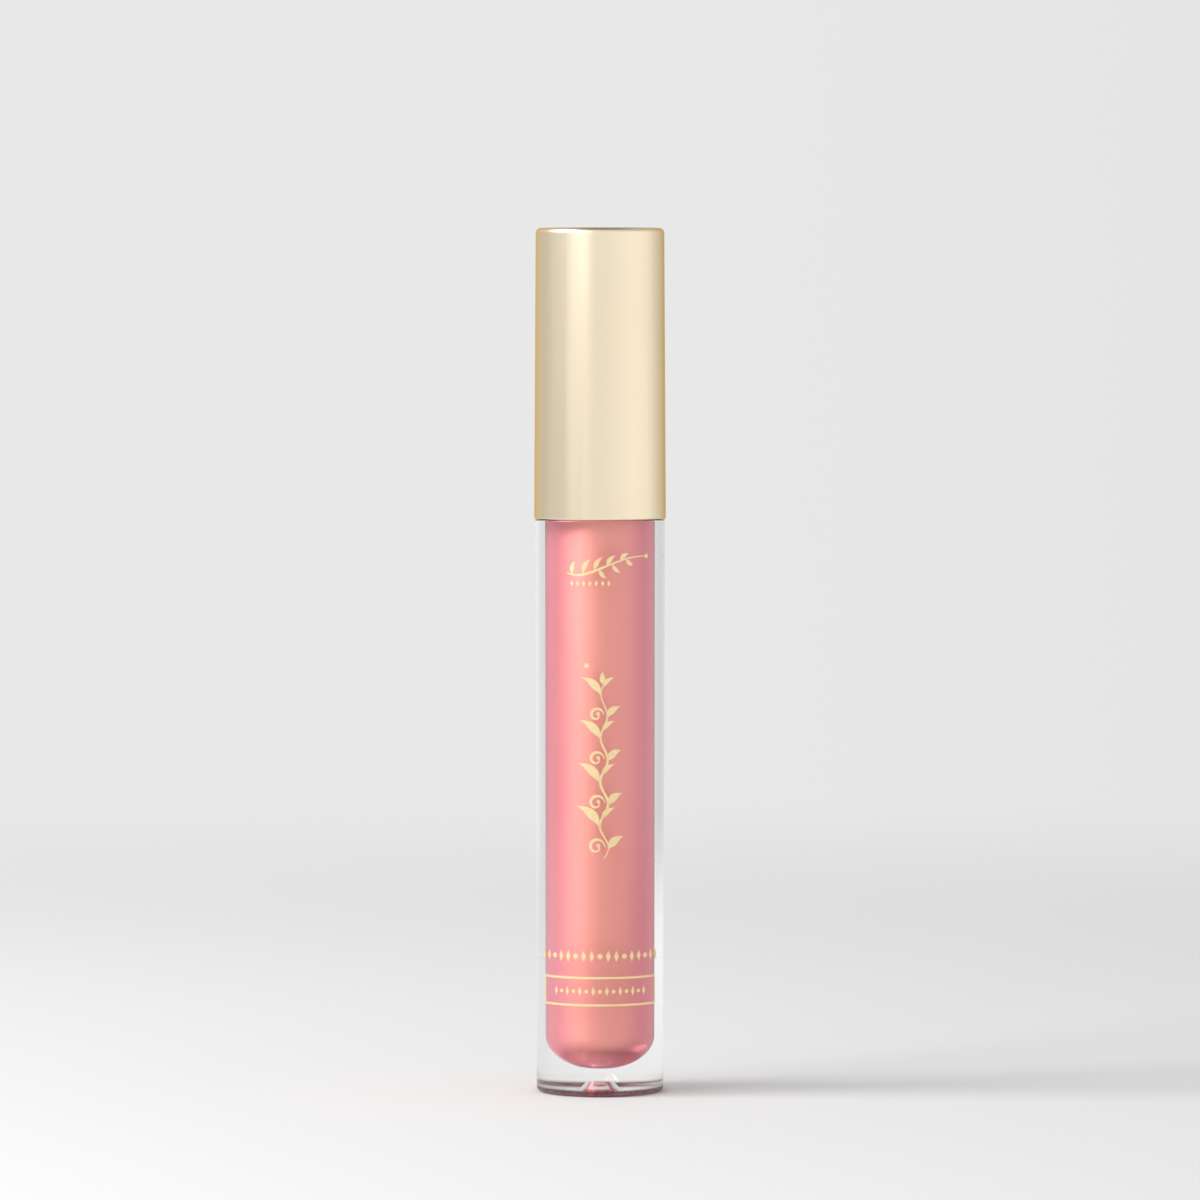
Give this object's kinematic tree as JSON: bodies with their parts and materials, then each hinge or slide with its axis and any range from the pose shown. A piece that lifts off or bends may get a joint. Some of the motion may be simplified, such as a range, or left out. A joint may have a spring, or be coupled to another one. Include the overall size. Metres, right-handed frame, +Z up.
{
  "type": "lip gloss tube",
  "caption": "Slim round lip gloss tube: thick clear bottle of pearly coral gloss, satin gold screw cap with a doe-foot wand, wiper in the neck.",
  "frame": {"origin": "centre of the base, on the plane that the tube stands on", "axes": "+Z up along the tube's axis, towards the cap; the printed front faces -Y; +X to the right seen from the front"},
  "size_m": [0.018, 0.018, 0.118],
  "materials": {
    "clear_petg": "clear, polished",
    "wiper_ldpe": "natural, milky, soft",
    "lip_gloss": "pearlescent coral pink with a peach-gold sheen",
    "gasket_foam": "closed-cell foam",
    "stem_plastic": "smooth white",
    "tip_core": "soft elastomer",
    "tip_flock": "short flocked fibre",
    "inner_cap_pp": "natural white, moulded",
    "cap_gold": "satin gold metallised"
  },
  "bodies": {
    "bottle": {"bottle": "clear_petg", "wiper": "wiper_ldpe", "gloss": "lip_gloss"},
    "gasket": {"gasket": "gasket_foam"},
    "stem": {"stem": "stem_plastic"},
    "cap": {"inner_cap": "inner_cap_pp", "outer_cap": "cap_gold", "applicator_core": "tip_core", "applicator_flock": "tip_flock"}
  },
  "joints": [
    {"name": "wand_pull", "type": "slide", "parent": "bottle", "child": "gasket", "axis": [0, 0, 1], "range_m": [0, 0.095]},
    {"name": "thread_lift", "type": "slide", "parent": "gasket", "child": "stem", "axis": [0, 0, 1], "range_m": [0, 0.0039]},
    {"name": "cap_turn", "type": "hinge", "parent": "stem", "child": "cap", "pos_m": [0, 0, 0.098], "axis": [0, 0, 1], "range_deg": [0, 540]}
  ],
  "couplings": [
    {"joint": "thread_lift", "follows": "cap_turn", "m_per_rad": 0.0004138}
  ]
}
